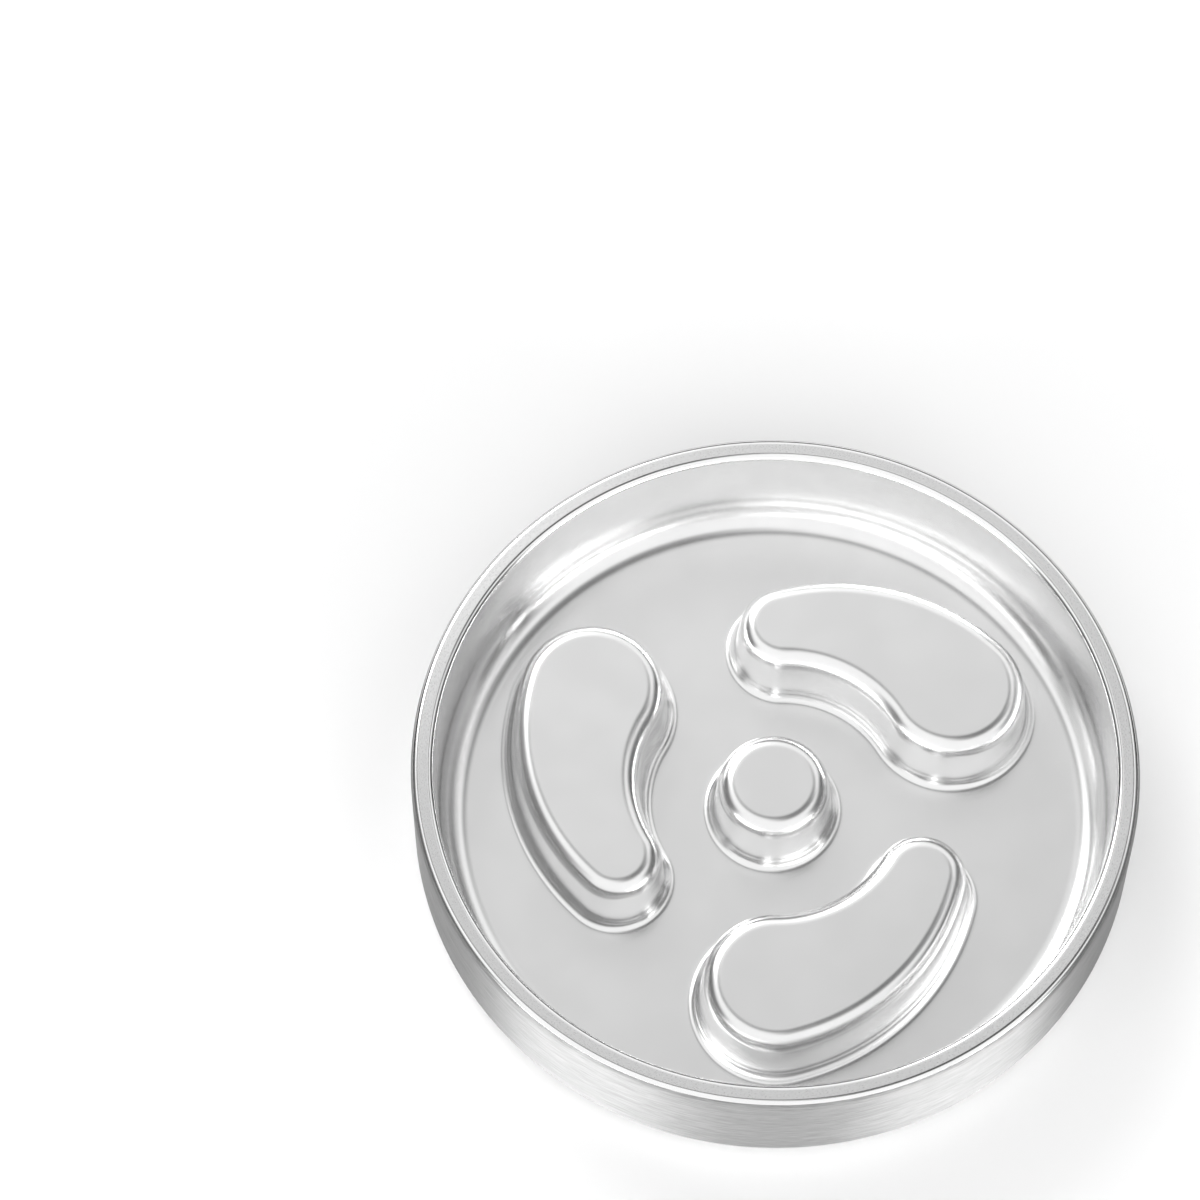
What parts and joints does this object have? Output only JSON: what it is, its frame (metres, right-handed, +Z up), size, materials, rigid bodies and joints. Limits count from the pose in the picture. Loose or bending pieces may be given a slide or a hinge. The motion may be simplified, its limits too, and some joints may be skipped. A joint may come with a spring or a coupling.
{
  "type": "slow feeder dog bowl",
  "caption": "Round double-walled steel dog bowl with raised islands in its pan that slow eating, and a stepped rubber ring under its base.",
  "frame": {"origin": "the point on the floor under the bowl's centre, where the ring's raised pads stand", "axes": "+Z up along the bowl's axis, -Y towards its front, where one kidney island points its broad end, +X to the right"},
  "size_m": [0.23, 0.23, 0.0463],
  "materials": {
    "pan_steel": "mirror-polished stainless steel, with a brushed flat on the rim",
    "shell_steel": "brushed round the side wall, spun on the base",
    "weld_steel": "ground flush and brushed with the side wall",
    "ring_rubber": "matt, finely grained",
    "film": "thin cured adhesive"
  },
  "bodies": {
    "root": {"feeder_pan": "pan_steel", "outer_shell": "shell_steel", "rim_weld": "weld_steel", "nonslip_ring": "ring_rubber", "ring_film": "film"}
  },
  "joints": []
}
